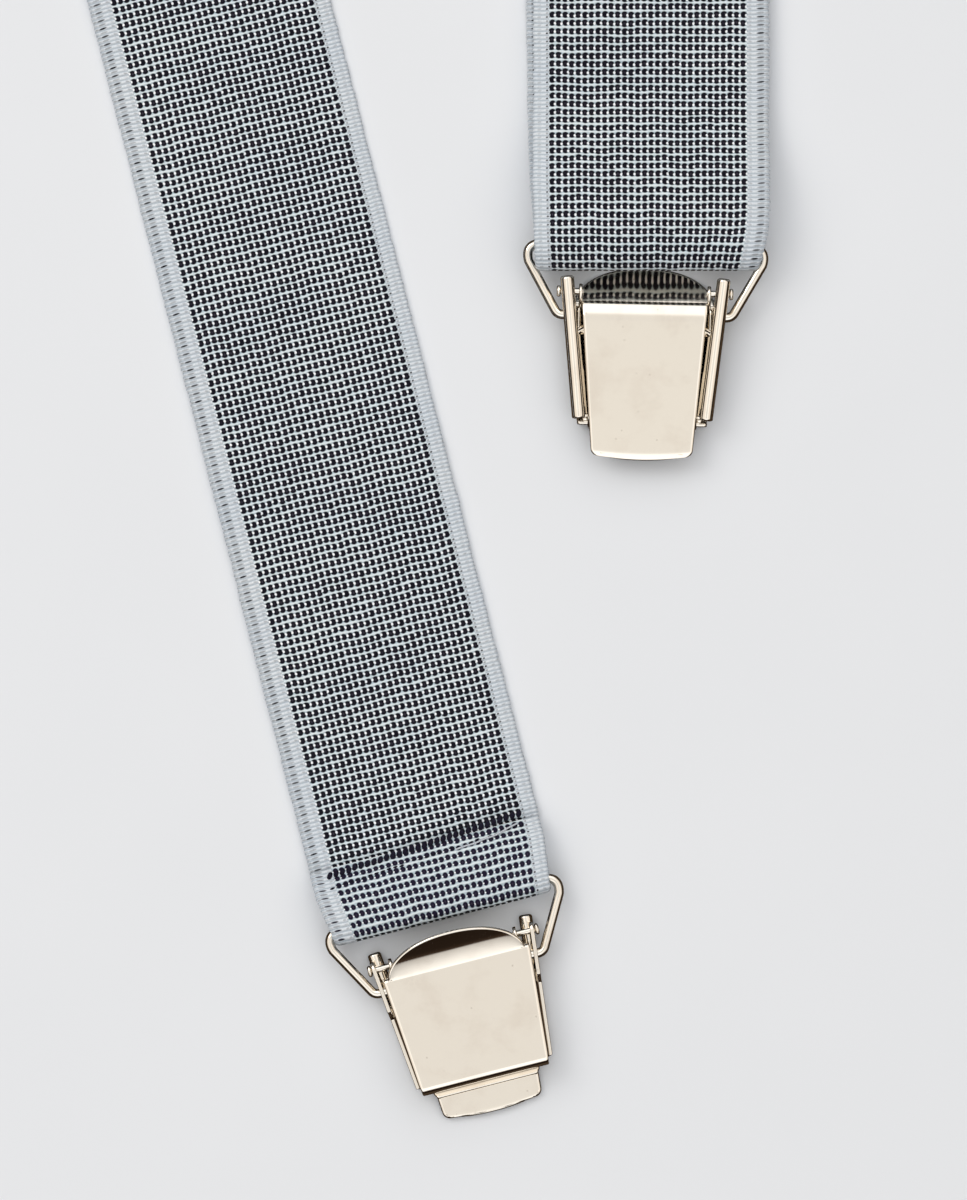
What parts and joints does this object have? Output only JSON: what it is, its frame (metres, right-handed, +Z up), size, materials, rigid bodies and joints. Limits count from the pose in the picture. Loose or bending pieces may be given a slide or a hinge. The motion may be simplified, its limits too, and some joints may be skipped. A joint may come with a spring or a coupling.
{
  "type": "braces",
  "caption": "Elastic braces with a Y back: woven straps, leather back patch, sliding adjusters and snap-lever metal clips on wire loops.",
  "frame": {"origin": "centre of the resting area on the surface that the braces lie on", "axes": "+Y along the front straps from the clips to the shoulders, +X to the right of the front view, +Z up from the surface"},
  "size_m": [0.226, 0.513, 0.0091],
  "materials": {
    "webbing": "woven elastic, pale blue with navy pin dots",
    "patch_leather": "fine grain",
    "nickel": "polished nickel plate",
    "steel_wire": "bright plated wire"
  },
  "bodies": {
    "straps": {"back_strap": "webbing", "patch_outer_leather": "patch_leather", "patch_inner_leather": "patch_leather", "front_right_strap": "webbing", "right_shoulder_strap": "webbing", "front_left_strap": "webbing", "left_shoulder_strap": "webbing"},
    "front_right_loop": {"front_right_wire_loop": "steel_wire"},
    "front_right_frame": {"front_right_clip_frame": "nickel", "front_right_clip_pivot": "steel_wire"},
    "front_right_jaw": {"front_right_clip_jaw": "nickel"},
    "front_right_lever": {"front_right_clip_lever": "nickel"},
    "front_left_loop": {"front_left_wire_loop": "steel_wire"},
    "front_left_frame": {"front_left_clip_frame": "nickel", "front_left_clip_pivot": "steel_wire"},
    "front_left_jaw": {"front_left_clip_jaw": "nickel"},
    "front_left_lever": {"front_left_clip_lever": "nickel"},
    "back_loop": {"back_wire_loop": "steel_wire"},
    "back_frame": {"back_clip_frame": "nickel", "back_clip_pivot": "steel_wire"},
    "back_jaw": {"back_clip_jaw": "nickel"},
    "back_lever": {"back_clip_lever": "nickel"},
    "right_adjuster": {"right_adjuster_frame": "nickel", "right_adjuster_pin": "steel_wire", "front_right_strap_end": "webbing"},
    "right_flap": {"right_adjuster_flap": "nickel"},
    "left_adjuster": {"left_adjuster_frame": "nickel", "left_adjuster_pin": "steel_wire", "front_left_strap_end": "webbing"},
    "left_flap": {"left_adjuster_flap": "nickel"}
  },
  "joints": [
    {"name": "front_right_loop_swing", "type": "hinge", "parent": "straps", "child": "front_right_loop", "pos_m": [0.0934, -0.12646, 0.0042], "axis": [-0.9998, 0.0209, 0], "range_deg": [0, 60]},
    {"name": "front_right_clip_swing", "type": "hinge", "parent": "front_right_loop", "child": "front_right_frame", "pos_m": [0.09318, -0.13694, 0.00364], "axis": [-0.9998, 0.0209, 0], "range_deg": [0, 45]},
    {"name": "front_right_lever_lift", "type": "hinge", "parent": "front_right_frame", "child": "front_right_lever", "pos_m": [0.09325, -0.13351, 0.00438], "axis": [-0.9998, 0.0209, 0], "range_deg": [0, 70]},
    {"name": "front_right_jaw_open", "type": "hinge", "parent": "front_right_frame", "child": "front_right_jaw", "pos_m": [0.09318, -0.13694, 0.00364], "axis": [0.9998, -0.0209, 0], "range_deg": [0, 9]},
    {"name": "front_left_loop_swing", "type": "hinge", "parent": "straps", "child": "front_left_loop", "pos_m": [-0.0934, -0.13496, 0.0042], "axis": [-0.9999, -0.014, 0], "range_deg": [0, 60]},
    {"name": "front_left_clip_swing", "type": "hinge", "parent": "front_left_loop", "child": "front_left_frame", "pos_m": [-0.09325, -0.14544, 0.00364], "axis": [-0.9999, -0.014, 0], "range_deg": [0, 45]},
    {"name": "front_left_lever_lift", "type": "hinge", "parent": "front_left_frame", "child": "front_left_lever", "pos_m": [-0.0933, -0.14201, 0.00438], "axis": [-0.9999, -0.014, 0], "range_deg": [0, 70]},
    {"name": "front_left_jaw_open", "type": "hinge", "parent": "front_left_frame", "child": "front_left_jaw", "pos_m": [-0.09325, -0.14544, 0.00364], "axis": [0.9999, 0.014, 0], "range_deg": [0, 9]},
    {"name": "back_loop_swing", "type": "hinge", "parent": "straps", "child": "back_loop", "pos_m": [0.0621, -0.22416, 0.00305], "axis": [-0.9689, -0.2475, 0], "range_deg": [0, 60]},
    {"name": "back_clip_swing", "type": "hinge", "parent": "back_loop", "child": "back_frame", "pos_m": [0.0647, -0.23433, 0.00305], "axis": [-0.9689, -0.2475, 0], "range_deg": [0, 45]},
    {"name": "back_lever_lift", "type": "hinge", "parent": "back_frame", "child": "back_lever", "pos_m": [0.06383, -0.23094, 0.0027], "axis": [0.9689, 0.2475, 0], "range_deg": [0, 70]},
    {"name": "back_jaw_open", "type": "hinge", "parent": "back_frame", "child": "back_jaw", "pos_m": [0.0647, -0.23433, 0.00305], "axis": [-0.9689, -0.2475, 0], "range_deg": [0, 9]},
    {"name": "right_adjuster_slide", "type": "slide", "parent": "straps", "child": "right_adjuster", "axis": [0, 1, 0], "range_m": [0, 0.06]},
    {"name": "right_flap_lift", "type": "hinge", "parent": "right_adjuster", "child": "right_flap", "pos_m": [0.0934, 0.01304, 0.0073], "axis": [-1, 0, 0], "range_deg": [0, 100]},
    {"name": "left_adjuster_slide", "type": "slide", "parent": "straps", "child": "left_adjuster", "axis": [0, 1, 0], "range_m": [0, 0.06]},
    {"name": "left_flap_lift", "type": "hinge", "parent": "left_adjuster", "child": "left_flap", "pos_m": [-0.0934, 0.00304, 0.0073], "axis": [-1, 0, 0], "range_deg": [0, 100]}
  ],
  "couplings": [
    {"joint": "front_right_jaw_open", "follows": "front_right_lever_lift", "ratio": 0.12857},
    {"joint": "front_left_jaw_open", "follows": "front_left_lever_lift", "ratio": 0.12857},
    {"joint": "back_jaw_open", "follows": "back_lever_lift", "ratio": 0.12857}
  ]
}
